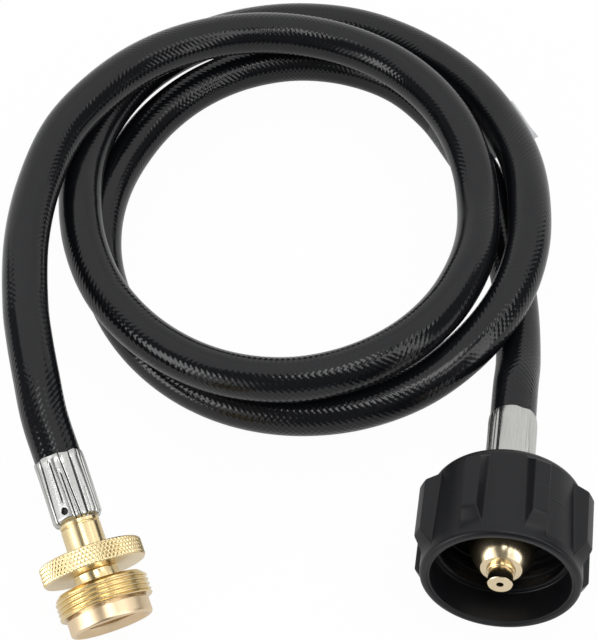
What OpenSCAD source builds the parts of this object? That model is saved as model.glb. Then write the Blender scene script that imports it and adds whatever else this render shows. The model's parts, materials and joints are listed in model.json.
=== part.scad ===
// Propane adapter hose: a coiled rubber hose with a hand-wheel tank nut at one end
// and a threaded brass appliance connector at the other. Millimetres, +Z up.
// Each fitting is drawn along its own Z, from the hose mouth outward, and then placed.

/* [Hose] */
// Outside diameter of the hose
hose_od = 12.7; // [11:0.1:13]
// Bore of the hose
hose_bore = 6.4; // [5:0.1:7]
// Flat sides round the hose
hose_sides = 12; // [8:12]

/* [Ferrules] */
// Length of a crimped ferrule
ferrule_len = 17.8; // [15:0.1:22]
// Outside diameter of a ferrule before its flats
ferrule_od = 13.5; // [13.3:0.1:15]
// Wall of a ferrule
ferrule_wall = 0.8; // [0.6:0.05:1]
// Number of crimped flats
ferrule_flats = 8; // [6:12]
// Depth of the crimped flats
flat_depth = 0.3; // [0.1:0.05:0.4]
// Diameter of the inspection hole
witness_d = 1.4; // [0.8:0.1:2]

/* [Hose barbs] */
// Crest diameter of the barb teeth
barb_crest_d = 7.4; // [7.2:0.1:8.2]
// Root diameter of the barb teeth
barb_root_d = 6.4; // [6:0.1:7]
// Pitch of the barb teeth
barb_pitch = 3; // [2.5:0.25:3.25]
// Number of barb teeth
barb_teeth = 4; // [2:4]
// Gas bore through both stems
gas_bore = 4; // [3:0.1:4.6]
// Diameter of the plain neck outside each ferrule
neck_d = 10.8; // [9.5:0.1:11.4]

/* [Appliance connector] */
// Length of the plain neck between ferrule and knurled disc
neck_len = 9; // [6:0.5:14]
// Diameter of the knurled disc
disc_d = 28.1; // [26:0.1:34]
// Thickness of the knurled disc
disc_t = 5.2; // [4.5:0.1:8]
// Diameter of the waist between disc and thread
waist_d = 12.1; // [11:0.1:14]
// Length of the waist
waist_len = 3.5; // [3:0.1:6]
// Outside diameter of the male thread
thread_d = 25.2; // [25:0.1:27]
// Length of the threaded head
thread_len = 6.4; // [6:0.1:9]
// Width of the relief groove behind the nose collar
relief_w = 0.5; // [0.3:0.1:1]
// Diameter of the nose collar
collar_d = 22.3; // [22:0.1:24]
// Length of the nose collar
collar_len = 4.4; // [3:0.1:6]
// Diameter of the socket that takes the appliance's probe
socket_d = 16.5; // [15:0.1:17.5]

/* [Check valve] */
// Diameter of the valve chamber
chamber_d = 8.6; // [8:0.1:9]
// Diameter of the valve pin
pin_d = 2.5; // [2:0.1:3]
// Diameter of the valve pin's head
pin_head_d = 6.4; // [5.5:0.1:7]
// Inward travel of the valve pin
pin_travel = 1.5; // [1:0.1:2]
// Wire of the valve spring
valve_wire = 0.5; // [0.4:0.05:0.6]
// Most turns of the valve spring
valve_turns = 4; // [3:5]

/* [Tank nipple] */
// Length of the plain neck between ferrule and journal
nipple_neck = 4; // [3:0.1:12]
// Diameter of the journal that the nut turns on
journal_d = 15.8; // [15:0.1:17]
// Diameter of the thrust flange
flange_d = 26.8; // [24:0.1:27.4]
// Thickness of the thrust flange
flange_t = 3.2; // [2.5:0.1:4]
// Diameter of the nose where it meets the tip's ring
nose_d = 11; // [10.4:0.1:12]
// Diameter of the nose at its root
nose_root_d = 17.4; // [16:0.1:20]
// Length of the nose in front of the flange
nose_len = 15.1; // [13:0.1:17]
// Length of the nose's bullet-shaped front
nose_taper = 8.5; // [5:0.1:11]
// Diameter of the tip
tip_d = 7; // [6:0.1:8]
// Length of the tip
tip_len = 4.6; // [3.5:0.1:6]
// Gas hole in the tip
tip_hole_d = 1.8; // [1.2:0.1:2.4]

/* [Flow limiter] */
// Diameter of the bore that the plunger slides in
limiter_bore = 8; // [7.6:0.1:8.4]
// Length of the plunger's guide
plunger_len = 8; // [6:0.5:10]
// Closing travel of the plunger
plunger_travel = 2.3; // [1.9:0.1:2.4]
// Wire of the flow spring
flow_wire = 0.5; // [0.4:0.05:0.6]
// Most turns of the flow spring
flow_turns = 5; // [4:6]

/* [Tank nut] */
// Diameter of the barrel
nut_d = 41.8; // [41:0.1:44]
// Diameter over the grip lugs
lug_over_d = 47.6; // [45.5:0.1:52]
// Length of the nut
nut_len = 29; // [27:0.5:34]
// Number of grip lugs
lug_count = 8; // [6:10]
// Width of a lug at its crown
lug_w = 4.1; // [3:0.1:6]
// Diameter of the plain mouth
mouth_d = 36.2; // [35.4:0.1:37]
// Depth of the plain mouth
mouth_depth = 9.6; // [7:0.1:11]
// Diameter at the crests of the female thread
acme_d = 33.6; // [33:0.1:34]
// Thickness of the nut's back wall
back_t = 3.5; // [3:0.1:5]
// Thickness of the heat-release bushing
bushing_t = 3; // [2.5:0.1:4]

/* [Label] */
// Width of the film label along the hose
label_w = 17.5; // [8:0.5:20]
// Thickness of the film label
label_t = 0.3; // [0.2:0.05:0.4]
// How far the label's stuck ends stand out
label_flag = 19; // [6:0.5:22]

/* [Fits] */
// Radial clearance of a turning or sliding fit
run_gap = 0.05; // [0.02:0.01:0.09]
// Gap between pieces that move past each other
move_gap = 0.3; // [0.2:0.05:0.5]

/* [Hidden] */

rubber_black = "#1c1c1e";
plastic_black = "#26272a";
brass_gold = "#d9b36a";
bright_nickel = "#c9ccd0";
spring_steel = "#a9adb3";
film_clear = "#e4e6ea";
bushing_brown = "#6b5a45";

// ---------------------------------------------------------------- placing
// Hose mouth of each fitting, its yaw from -Y towards +X, and its pitch above level
connector_at = [-67.7, 15, 22.9];
connector_yaw = 20.5;
connector_pitch = -15;
tank_at = [55.7, 30.1, 16.8];
tank_yaw = -8.2;
tank_pitch = 11.1;

function heading(yaw, pitch) =
    [sin(yaw) * cos(pitch), -cos(yaw) * cos(pitch), sin(pitch)];
connector_dir = heading(connector_yaw, connector_pitch);
tank_dir = heading(tank_yaw, tank_pitch);

module place(at, yaw, pitch) {
    translate(at) rotate([90 - pitch, 0, yaw]) children();
}
module at_connector() place(connector_at, connector_yaw, connector_pitch) children();
module at_tank() place(tank_at, tank_yaw, tank_pitch) children();

// ---------------------------------------------------------------- hose route
// Middle of the coil, and the turn between two rows of the coil's shape
coil_centre = [-4.2, 102.5];
row_step = 30;
first_row_angle = 180;
// Radius and height of the hose's centre at each row, from the top turn down to the floor
coil_rows = [
    [74, 30.4], [67, 30.4], [64.5, 25.8], [63.5, 20.8], [60.5, 19.2], [56, 19.8],
    [54, 19], [56, 23.4], [60.5, 25.8], [63, 23.8], [62.5, 20.2], [63, 20.3],
    [63.5, 20.4], [68, 15.8], [75, 10.8], [81, 6.4], [79.5, 6.4], [73, 11.4],
    [69, 18.8], [70, 21], [69, 14.8], [66, 10], [62.5, 6.4], [60.5, 7.2],
    [58.5, 7.2], [58.5, 6.4], [61.5, 6.8], [65, 6.4], [64.5, 6.4], [59.5, 6.9],
    [61.5, 7]];
// Where the coil meets each lead, and which way the hose runs there
coil_start = [-80.4, 81, 31.5];
coil_start_yaw = 179.5;
coil_start_pitch = 0;
coil_end = [60.3, 77, 7.2];
coil_end_yaw = 0;
coil_end_pitch = 3;
// Free points of the leads between their straight ends
lead_connector_points = [[-74.6, 37, 28.9], [-77, 47.5, 30.5], [-78.9, 58, 31.2]];
lead_tank_points = [[59.3, 53.5, 10.9]];

coil_start_dir = heading(coil_start_yaw, coil_start_pitch);
coil_end_dir = heading(coil_end_yaw, coil_end_pitch);
straight = hose_od;

// Smooth value a fraction u of the way from b to c, with a and d the values on either side
function between(a, b, c, d, u) =
    b + u * (c - a) / 2 + u * u * (a - 2.5 * b + 2 * c - d / 2)
    + u * u * u * (1.5 * (b - c) + (d - a) / 2);
function row(i) = coil_rows[max(0, min(len(coil_rows) - 1, i))];
function coil_shape(s) =
    let(i = floor(s), u = s - i) between(row(i - 1), row(i), row(i + 1), row(i + 2), u);
function coil_point(s) =
    let(shape = coil_shape(s), turn = first_row_angle - row_step * s)
    [coil_centre[0] + shape[0] * cos(turn), coil_centre[1] + shape[0] * sin(turn),
     max(hose_od / 2, shape[1])];

rings_per_row = 2;
coil_path = concat(
    [coil_start, coil_start + straight * coil_start_dir],
    [for (k = [0 : (len(coil_rows) - 1) * rings_per_row]) coil_point(k / rings_per_row)],
    [coil_end - straight * coil_end_dir, coil_end]);
lead_connector_path = concat(
    [connector_at, connector_at - straight * connector_dir],
    lead_connector_points,
    [coil_start - straight * coil_start_dir, coil_start]);
lead_tank_path = concat(
    [coil_end, coil_end + straight * coil_end_dir],
    lead_tank_points,
    [tank_at - straight * tank_dir, tank_at]);

// ---------------------------------------------------------------- swept tubes
function unit(v) = v / norm(v);
// Direction of a path at point i: along its chord at the ends, the mean of both within
function run_dir(path, i) =
    let(n = len(path) - 1)
    i == 0 ? unit(path[1] - path[0])
    : i == n ? unit(path[n] - path[n - 1])
    : unit(unit(path[i + 1] - path[i]) + unit(path[i] - path[i - 1]));
// Points of a ring square to the path, starting level on its right
function ring(path, i, r, sides) =
    let(t = run_dir(path, i), side = unit(cross(t, [0, 0, 1])), up = cross(side, t))
    [for (k = [0 : sides - 1]) path[i] + r * (cos(360 * k / sides) * side + sin(360 * k / sides) * up)];

// Triangles between two rings that start at point a and at point b
function band(a, b, sides) =
    [for (k = [0 : sides - 1]) let(m = (k + 1) % sides)
        each [[a + k, b + k, b + m], [a + k, b + m, a + m]]];

// Round tube along a path; with a bore it is open at both ends
module swept_tube(path, r, bore_r, sides) {
    rings = len(path);
    outer = [for (i = [0 : rings - 1]) each ring(path, i, r, sides)];
    inner = [for (i = [0 : rings - 1]) each ring(path, i, bore_r, sides)];
    last = (rings - 1) * sides;
    inside = rings * sides;
    polyhedron(
        points = concat(outer, inner),
        faces = concat(
            [for (i = [0 : rings - 2]) each band((i + 1) * sides, i * sides, sides)],
            [for (i = [0 : rings - 2])
                each band(inside + i * sides, inside + (i + 1) * sides, sides)],
            band(0, inside, sides),
            band(inside + last, last, sides)));
}

// Wire spring round Z, from z = 0 to z = height
module wire_spring(coil_r, wire, most_turns, height, travel) {
    steps = 10;
    sides = 6;
    rise = height - wire;
    // turns that still leave room for the travel when they close up
    turns = max(2, min(most_turns, floor((height - travel) / wire) - 1));
    path = [for (k = [0 : turns * steps])
        [coil_r * cos(360 * k / steps), coil_r * sin(360 * k / steps),
         wire / 2 + rise * k / (turns * steps)]];
    rings = len(path);
    points = [for (k = [0 : rings - 1]) let(turn = 360 * k / steps)
        each [for (j = [0 : sides - 1])
            path[k] + wire / 2 * (cos(360 * j / sides) * [cos(turn), sin(turn), 0]
                                  + sin(360 * j / sides) * [0, 0, 1])]];
    last = (rings - 1) * sides;
    polyhedron(
        points = points,
        faces = concat(
            [for (i = [0 : rings - 2]) each band(i * sides, (i + 1) * sides, sides)],
            [for (j = [1 : sides - 2]) [0, j, j + 1]],
            [for (j = [1 : sides - 2]) [last, last + j + 1, last + j]]));
}

// ---------------------------------------------------------------- crimped ends
$fn = 96;
tail_r = ferrule_od / 2 - ferrule_wall;
lip_t = 1.2;
lip_r = 0.9;
bell_len = 1.6;
barb_start = 2;
shoulder_t = 1.2;
shoulder_z = ferrule_len - lip_t - shoulder_t;
stem_start = 1;

// Outline of the toothed barb, from the open end to the shoulder, grown by gap
function barb_outline(gap) = [
    [gas_bore / 2, stem_start],
    [barb_root_d / 2 + gap, stem_start],
    for (k = [0 : barb_teeth - 1]) each [
        [barb_root_d / 2 + gap, barb_start + k * barb_pitch],
        [barb_crest_d / 2 + gap, barb_start + (k + 0.7) * barb_pitch],
        [barb_root_d / 2 + gap, barb_start + (k + 0.7) * barb_pitch + 0.2]],
    [barb_root_d / 2 + gap, shoulder_z]];

// Crimped cup: bell mouth, eight flats, a rolled lip round the stem's neck
module ferrule(hole_turn) {
    outer_r = ferrule_od / 2;
    color(bright_nickel)
    difference() {
        union() {
            intersection() {
                rotate_extrude() polygon(concat(
                    [[0, 0], [outer_r, 0], [outer_r, ferrule_len - lip_r]],
                    [for (a = [15 : 15 : 90])
                        [outer_r - lip_r + lip_r * cos(a), ferrule_len - lip_r + lip_r * sin(a)]],
                    [[0, ferrule_len]]));
                rotate([0, 0, 180 / ferrule_flats])
                    linear_extrude(ferrule_len)
                        circle(r = (outer_r - flat_depth) / cos(180 / ferrule_flats), $fn = ferrule_flats);
            }
            rotate_extrude() polygon([
                [tail_r, 0], [outer_r, 0], [outer_r, bell_len / 2],
                [outer_r - flat_depth, bell_len], [tail_r, bell_len]]);
        }
        // room for the hose, then for the stem's shoulder
        translate([0, 0, -1]) cylinder(r = tail_r, h = shoulder_z + 1);
        translate([0, 0, shoulder_z - 0.01]) cylinder(r = tail_r, h = shoulder_t + 0.01);
        translate([0, 0, -1]) cylinder(d = neck_d, h = ferrule_len + 2);
        // inspection hole through one wall
        translate([0, 0, shoulder_z - 0.5]) rotate([-90, 0, hole_turn])
            cylinder(d = witness_d, h = ferrule_od, $fn = 24);
    }
}

// Hose end squeezed between ferrule and barb
module hose_tail() {
    color(rubber_black)
    rotate_extrude() polygon(concat(
        [[hose_bore / 2, 0]],
        [for (p = barb_outline(0)) if (p[0] > gas_bore / 2 && p[1] < shoulder_z) p],
        [[barb_root_d / 2, shoulder_z], [tail_r, shoulder_z], [tail_r, 0]]));
}

// ---------------------------------------------------------------- connector
disc_z = ferrule_len + neck_len;
waist_z = disc_z + disc_t;
head_z = waist_z + waist_len;
head_end = head_z + thread_len;
collar_z = head_end + relief_w;
nose_end = collar_z + collar_len;
edge = 0.5;
groove_depth = 0.4;
run_in = 1.3;

spigot_d = 8.4;
spigot_len = 2.5;
chamber_z = disc_z + spigot_len + 0.8;
collar_spigot_d = collar_d - 0.8;
collar_spigot_len = 3;
socket_step = 0.3;
socket_depth = collar_len + 0.2;
cage_z = head_end - collar_spigot_len;
cage_boss_d = 13;
cage_boss_len = 2.4;
cage_flange_t = 1.2;
chamber_end = cage_z - cage_boss_len;
seal_t = 1.2;
head_gap = 0.1;
pin_head_t = 1.3;
pin_head_z = chamber_end - seal_t - head_gap - pin_head_t;
pin_tip_z = cage_z + cage_flange_t + 1.6;
port_d = 1.6;

module connector_ferrule() at_connector() ferrule(28);

module connector_stem() {
    color(brass_gold) at_connector() difference() {
        rotate_extrude() polygon(concat(
            barb_outline(0),
            [[tail_r, shoulder_z], [tail_r, shoulder_z + shoulder_t],
             [neck_d / 2, shoulder_z + shoulder_t],
             [neck_d / 2, ferrule_len + edge], [neck_d / 2 - groove_depth, ferrule_len + edge],
             [neck_d / 2 - groove_depth, ferrule_len + 2 * edge],
             [neck_d / 2, ferrule_len + 2 * edge], [neck_d / 2, disc_z],
             [spigot_d / 2, disc_z], [spigot_d / 2, disc_z + spigot_len],
             [gas_bore / 2, disc_z + spigot_len]]));
    }
}

module connector_body() {
    color(brass_gold) at_connector() difference() {
        rotate_extrude() polygon([
            [0, disc_z],
            [disc_d / 2 - edge, disc_z], [disc_d / 2, disc_z + edge],
            [disc_d / 2, waist_z - edge], [disc_d / 2 - edge, waist_z],
            [waist_d / 2, waist_z], [waist_d / 2, head_z],
            [thread_d / 2 - run_in, head_z], [thread_d / 2, head_z + run_in],
            [thread_d / 2, head_end - edge], [thread_d / 2 - edge, head_end],
            [0, head_end]]);
        translate([0, 0, disc_z - 1]) cylinder(d = spigot_d, h = spigot_len + 1);
        translate([0, 0, disc_z]) cylinder(d = gas_bore, h = thread_len);
        translate([0, 0, chamber_z]) cylinder(d = chamber_d, h = chamber_end - chamber_z);
        translate([0, 0, chamber_end - 0.01]) cylinder(d = cage_boss_d, h = cage_boss_len + 0.01);
        translate([0, 0, cage_z]) cylinder(d = collar_spigot_d, h = collar_spigot_len + 1);
    }
}

// Pressed-in nose ring: its lip leaves the relief groove, its socket ends on a step
module nose_collar() {
    collar_r = collar_d / 2;
    round_r = 0.9;
    color(brass_gold) at_connector() rotate_extrude() polygon(concat(
        [[socket_d / 2 - socket_step, cage_z], [collar_spigot_d / 2, cage_z],
         [collar_spigot_d / 2, collar_z], [collar_r, collar_z]],
        [for (a = [0 : 15 : 90])
            [collar_r - round_r + round_r * cos(a), nose_end - round_r + round_r * sin(a)]],
        [[socket_d / 2 + edge, nose_end], [socket_d / 2, nose_end - edge],
         [socket_d / 2, nose_end - socket_depth], [socket_d / 2 - socket_step, nose_end - socket_depth]]));
}

// Guide for the valve pin, with four gas ports
module valve_cage() {
    color(brass_gold) at_connector() difference() {
        union() {
            translate([0, 0, chamber_end]) cylinder(d = cage_boss_d, h = cage_boss_len);
            translate([0, 0, cage_z])
                cylinder(d = socket_d - 2 * socket_step - 2 * run_gap, h = cage_flange_t);
        }
        translate([0, 0, chamber_end - 1])
            cylinder(d = pin_d + 2 * run_gap, h = cage_boss_len + cage_flange_t + 2);
        for (k = [0 : 3]) rotate([0, 0, 45 + 90 * k])
            translate([pin_head_d / 2 + port_d * 0.6, 0, chamber_end - 1])
                cylinder(d = port_d, h = cage_boss_len + cage_flange_t + 2, $fn = 24);
    }
}

// Rubber seat under the cage
module valve_seal() {
    color(rubber_black) at_connector() translate([0, 0, chamber_end - seal_t]) difference() {
        cylinder(d = pin_head_d, h = seal_t);
        translate([0, 0, -1]) cylinder(d = pin_d + 2 * move_gap, h = seal_t + 2);
    }
}

module valve_pin() {
    dome = pin_d / 4;
    color(bright_nickel) at_connector() rotate_extrude() polygon(concat(
        [[0, pin_head_z], [pin_head_d / 2, pin_head_z],
         [pin_head_d / 2, pin_head_z + pin_head_t], [pin_d / 2, pin_head_z + pin_head_t]],
        [for (a = [0 : 22.5 : 90])
            [pin_d / 2 - dome + dome * cos(a), pin_tip_z - dome + dome * sin(a)]],
        [[0, pin_tip_z]]));
}

module valve_spring() {
    color(spring_steel) at_connector() translate([0, 0, chamber_z])
        wire_spring((gas_bore + pin_head_d) / 4, valve_wire, valve_turns,
            pin_head_z - chamber_z, pin_travel);
}

// ---------------------------------------------------------------- tank end
journal_z = ferrule_len + nipple_neck;
nut_z = journal_z + 3.2;
bushing_z = nut_z + back_t;
flange_z = bushing_z + bushing_t + move_gap;
nose_z = flange_z + flange_t;
nose_end_z = nose_z + nose_len;
tip_z = nose_end_z + tip_len;
mouth_z = nut_z + nut_len;
pocket_r = flange_d / 2 + 2 * move_gap;

clip_t = 0.8;
clip_z = nut_z - move_gap - clip_t;
clip_d = 18.8;
clip_groove = 0.85;
clip_opening = 60;

limiter_z = journal_z + 3.2;
tip_flange_t = 1;
bullet_z = nose_end_z - tip_flange_t - nose_taper;
tip_shank_len = 5;
shank_z = nose_end_z - tip_flange_t - tip_shank_len;
plunger_z = shank_z - move_gap - plunger_len;
plunger_cone_d = 4.8;
plunger_point_d = 1.8;
plunger_cone_len = 2.4;
// The cone closes on the bore's rim just past its travel
cone_seat = plunger_cone_len * (gas_bore - plunger_point_d) / (plunger_cone_d - plunger_point_d);
plunger_nose_z = limiter_z + plunger_travel + 0.05 - cone_seat;

module tank_ferrule() at_tank() ferrule(180);

// Bullet front of the nose: a fraction u of the way along it, rounding down to the ring
nose_steps = 10;
bullet_power = 1.6;
function nose_r(u) = nose_root_d / 2 - (nose_root_d - nose_d) / 2 * pow(u, bullet_power);

module tank_nipple() {
    color(brass_gold) at_tank() difference() {
        rotate_extrude() polygon(concat(
            barb_outline(0),
            [[tail_r, shoulder_z], [tail_r, shoulder_z + shoulder_t],
             [neck_d / 2, shoulder_z + shoulder_t],
             [neck_d / 2, journal_z], [journal_d / 2 - edge, journal_z],
             [journal_d / 2, journal_z + edge],
             [journal_d / 2, clip_z], [journal_d / 2 - clip_groove, clip_z],
             [journal_d / 2 - clip_groove, clip_z + clip_t], [journal_d / 2, clip_z + clip_t],
             [journal_d / 2, flange_z], [flange_d / 2 - edge, flange_z],
             [flange_d / 2, flange_z + edge], [flange_d / 2, nose_z - edge],
             [flange_d / 2 - edge, nose_z], [nose_root_d / 2, nose_z]],
            [for (k = [0 : nose_steps])
                [nose_r(k / nose_steps), bullet_z + nose_taper * k / nose_steps]],
            [[gas_bore / 2, bullet_z + nose_taper]]));
        translate([0, 0, limiter_z]) cylinder(d = limiter_bore, h = nose_end_z - limiter_z);
    }
}

// Drilled tip with its flat ring, pressed into the nose
module nipple_tip() {
    ring_z = nose_end_z - tip_flange_t;
    color(brass_gold) at_tank() difference() {
        rotate_extrude() polygon([
            [0, shank_z], [limiter_bore / 2, shank_z], [limiter_bore / 2, ring_z],
            [nose_d / 2 - 0.05, ring_z], [nose_d / 2 - 0.05, nose_end_z],
            [tip_d / 2, nose_end_z], [tip_d / 2, tip_z - edge / 2],
            [tip_d / 2 - edge / 2, tip_z], [0, tip_z]]);
        translate([0, 0, shank_z - 1]) cylinder(d = gas_bore, h = tip_z - shank_z - 1);
        translate([0, 0, shank_z]) cylinder(d = tip_hole_d, h = tip_z, $fn = 32);
    }
}

// Flow limiter plunger: a fluted guide with a closing cone
module flow_plunger() {
    guide_d = limiter_bore - 2 * run_gap;
    flute = 1.4;
    color(bright_nickel) at_tank() difference() {
        rotate_extrude() polygon([
            [0, plunger_nose_z], [plunger_point_d / 2, plunger_nose_z],
            [plunger_cone_d / 2, plunger_nose_z + plunger_cone_len],
            [plunger_cone_d / 2, plunger_z], [guide_d / 2, plunger_z],
            [guide_d / 2, plunger_z + plunger_len], [0, plunger_z + plunger_len]]);
        for (k = [0 : 2]) rotate([0, 0, 120 * k])
            translate([guide_d / 2, 0, plunger_z - 1]) cylinder(r = flute, h = plunger_len + 2, $fn = 32);
    }
}

module flow_spring() {
    color(spring_steel) at_tank() translate([0, 0, limiter_z])
        wire_spring((limiter_bore + plunger_cone_d) / 4, flow_wire, flow_turns,
            plunger_z - limiter_z, plunger_travel);
}

// Split ring behind the nut
module nut_clip() {
    inner_r = journal_d / 2 - clip_groove;
    color(spring_steel) at_tank() translate([0, 0, clip_z])
        linear_extrude(clip_t) difference() {
            circle(d = clip_d);
            circle(r = inner_r);
            polygon([[0, 0], clip_d * [cos(90 - clip_opening / 2), sin(90 - clip_opening / 2)],
                     clip_d * [cos(90 + clip_opening / 2), sin(90 + clip_opening / 2)]]);
        }
}

// Heat-release bushing held in the nut, turning on the nipple's journal behind its flange
module nut_bushing() {
    color(bushing_brown) at_tank() translate([0, 0, bushing_z]) difference() {
        cylinder(r = pocket_r, h = bushing_t);
        translate([0, 0, -1]) cylinder(d = journal_d + 2 * run_gap, h = bushing_t + 2);
    }
}

// Moulded hand-wheel nut: lugs with bevelled ends on a rounded barrel, open mouth
lug_flank = 1.1;
lug_turn = 4.6;
back_round = 3;
draft = 0.7;
lug_rear_set = 3.2;
lug_rear_bevel = 2.8;
lug_front_set = 3;
lug_front_bevel = 3.9;
lug_rear_z = nut_z + lug_rear_set;
lug_full_z = lug_rear_z + lug_rear_bevel;
lug_end_z = mouth_z - lug_front_set;
lug_bevel_z = lug_end_z - lug_front_bevel;
rim_chamfer = 0.6;
module lug_star() {
    crown_r = lug_over_d / 2;
    base_r = nut_d / 2 - draft;
    root_r = base_r - 2;
    root_w = lug_w / 2 + lug_flank * (crown_r - root_r) / (crown_r - base_r);
    for (k = [0 : lug_count - 1]) rotate([0, 0, lug_turn + 360 * (k + 0.5) / lug_count])
        polygon([
            [root_r, -root_w], [crown_r, -lug_w / 2], [crown_r + 1, -lug_w / 2],
            [crown_r + 1, lug_w / 2], [crown_r, lug_w / 2], [root_r, root_w]]);
}

module tank_nut() {
    front_r = nut_d / 2;
    back_r = front_r - draft;
    color(plastic_black) at_tank() difference() {
        union() {
            rotate_extrude() polygon(concat(
                [[0, nut_z]],
                [for (a = [-90 : 15 : 0])
                    [back_r - back_round + back_round * cos(a), nut_z + back_round + back_round * sin(a)]],
                [[front_r, lug_end_z], [front_r - 0.2, mouth_z - rim_chamfer],
                 [front_r - 0.2 - rim_chamfer, mouth_z], [0, mouth_z]]));
            intersection() {
                translate([0, 0, lug_rear_z]) linear_extrude(lug_end_z - lug_rear_z) lug_star();
                rotate_extrude() polygon([
                    [back_r - 2, lug_rear_z], [back_r - 0.1, lug_rear_z],
                    [lug_over_d / 2, lug_full_z], [lug_over_d / 2, lug_bevel_z],
                    [front_r - 0.1, lug_end_z], [back_r - 2, lug_end_z]]);
            }
        }
        translate([0, 0, nut_z - 1]) cylinder(d = journal_d + 1, h = nut_len);
        translate([0, 0, bushing_z]) cylinder(r = pocket_r, h = nut_len);
        translate([0, 0, nose_z]) cylinder(d = acme_d, h = nut_len);
        translate([0, 0, mouth_z - mouth_depth]) cylinder(d = mouth_d, h = nut_len);
    }
}

// ---------------------------------------------------------------- hose pieces
module hose_lead_connector() color(rubber_black)
    swept_tube(lead_connector_path, hose_od / 2, hose_bore / 2, hose_sides);
module hose_coil() color(rubber_black)
    swept_tube(coil_path, hose_od / 2, hose_bore / 2, hose_sides);
module hose_lead_tank() color(rubber_black)
    swept_tube(lead_tank_path, hose_od / 2, hose_bore / 2, hose_sides);
module hose_tail_connector() at_connector() hose_tail();
module hose_tail_tank() at_tank() hose_tail();

// Film label round the lowest turn; its two ends are stuck together as a low level flag
label_row = 29;
label_back = 3;
label_drop = 4.4;
module label_wrap() {
    middle = coil_point(label_row);
    before = unit(coil_point(label_row - 1 / rings_per_row) - middle);
    after = unit(coil_point(label_row + 1 / rings_per_row) - middle);
    label_path = [
        middle + (label_w / 2 + label_back) * before, middle,
        middle + (label_w / 2 - label_back) * after];
    out = unit(cross([0, 0, 1], after - before));
    root = 4.75;
    reach = hose_od / 2 + label_flag;
    outline = concat(
        [for (i = [0 : 2]) label_path[i] + root * unit(cross([0, 0, 1], run_dir(label_path, i)))],
        [label_path[2] + reach * out, label_path[0] + reach * out]);
    color(film_clear) {
        swept_tube(label_path, hose_od / 2 + label_t, hose_od / 2 + 0.02, hose_sides);
        translate([0, 0, middle[2] - label_drop - label_t])
            linear_extrude(2 * label_t) polygon([for (p = outline) [p[0], p[1]]]);
    }
}

// ---------------------------------------------------------------- least gap of the hose
full_path = concat(lead_connector_path, coil_path, lead_tank_path);
function travelled(path, i, sum = 0) = i == 0 ? sum
    : travelled(path, i - 1, sum + norm(path[i] - path[i - 1]));
fine = [for (i = [0 : len(full_path) - 2]) each
    [for (u = [0, 0.25, 0.5, 0.75]) full_path[i] + u * (full_path[i + 1] - full_path[i])]];
// Points at least a quarter turn of the coil apart along the hose
least_gap = min([for (i = [0 : len(fine) - 1]) for (j = [i + 24 : 1 : len(fine) - 1])
    norm(fine[i] - fine[j])]) - hose_od;
union() {
    echo(least_gap_of_the_hose_to_itself = least_gap);
    echo(hose_length = travelled(full_path, len(full_path) - 1));
    echo(lowest_point_of_the_hose = min([for (p = full_path) p[2]]) - hose_od / 2);
}

hose_lead_connector();
hose_coil();
hose_lead_tank();
hose_tail_connector();
hose_tail_tank();
label_wrap();
connector_ferrule();
connector_stem();
connector_body();
nose_collar();
valve_cage();
valve_seal();
valve_pin();
valve_spring();
tank_ferrule();
tank_nipple();
nipple_tip();
flow_plunger();
flow_spring();
nut_clip();
nut_bushing();
tank_nut();
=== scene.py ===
# Propane adapter hose: a coiled rubber hose with a brass appliance connector
# at one end and a black hand-wheel tank nut at the other.
import json
import math

import bpy
from mathutils import Matrix, Vector

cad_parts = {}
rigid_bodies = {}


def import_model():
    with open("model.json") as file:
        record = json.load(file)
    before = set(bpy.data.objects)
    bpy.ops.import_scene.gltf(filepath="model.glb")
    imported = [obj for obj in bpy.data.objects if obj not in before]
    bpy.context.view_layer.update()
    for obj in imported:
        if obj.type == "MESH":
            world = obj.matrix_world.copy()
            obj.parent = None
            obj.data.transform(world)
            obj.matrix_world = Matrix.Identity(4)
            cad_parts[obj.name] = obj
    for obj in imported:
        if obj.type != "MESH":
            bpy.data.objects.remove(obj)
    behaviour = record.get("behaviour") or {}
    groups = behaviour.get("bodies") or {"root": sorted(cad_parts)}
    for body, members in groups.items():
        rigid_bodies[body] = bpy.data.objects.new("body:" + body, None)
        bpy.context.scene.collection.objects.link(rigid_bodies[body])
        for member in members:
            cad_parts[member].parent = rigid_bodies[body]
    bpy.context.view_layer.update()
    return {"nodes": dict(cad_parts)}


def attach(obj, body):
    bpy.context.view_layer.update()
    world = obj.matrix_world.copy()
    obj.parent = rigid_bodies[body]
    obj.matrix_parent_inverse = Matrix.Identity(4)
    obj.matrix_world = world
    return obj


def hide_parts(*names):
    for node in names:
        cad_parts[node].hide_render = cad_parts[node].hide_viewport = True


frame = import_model()
scene = bpy.context.scene
MM = 0.001
TAU = 2 * math.pi

# ---------------------------------------------------------------- camera
# Stands in front of the two fittings and looks down at the coil
CAMERA_TARGET = Vector((-3.35, 73.63, 0.08)) * MM
CAMERA_ELEVATION = math.radians(58)
CAMERA_DISTANCE = 540 * MM

camera_data = bpy.data.cameras.new("camera")
camera_data.lens = 102.65
camera_data.sensor_width = 36
camera = bpy.data.objects.new("camera", camera_data)
scene.collection.objects.link(camera)
camera.location = CAMERA_TARGET + CAMERA_DISTANCE * Vector(
    (0, -math.cos(CAMERA_ELEVATION), math.sin(CAMERA_ELEVATION)))
camera.rotation_mode = "QUATERNION"
camera.rotation_quaternion = (CAMERA_TARGET - camera.location).to_track_quat("-Z", "Y")
scene.camera = camera

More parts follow.
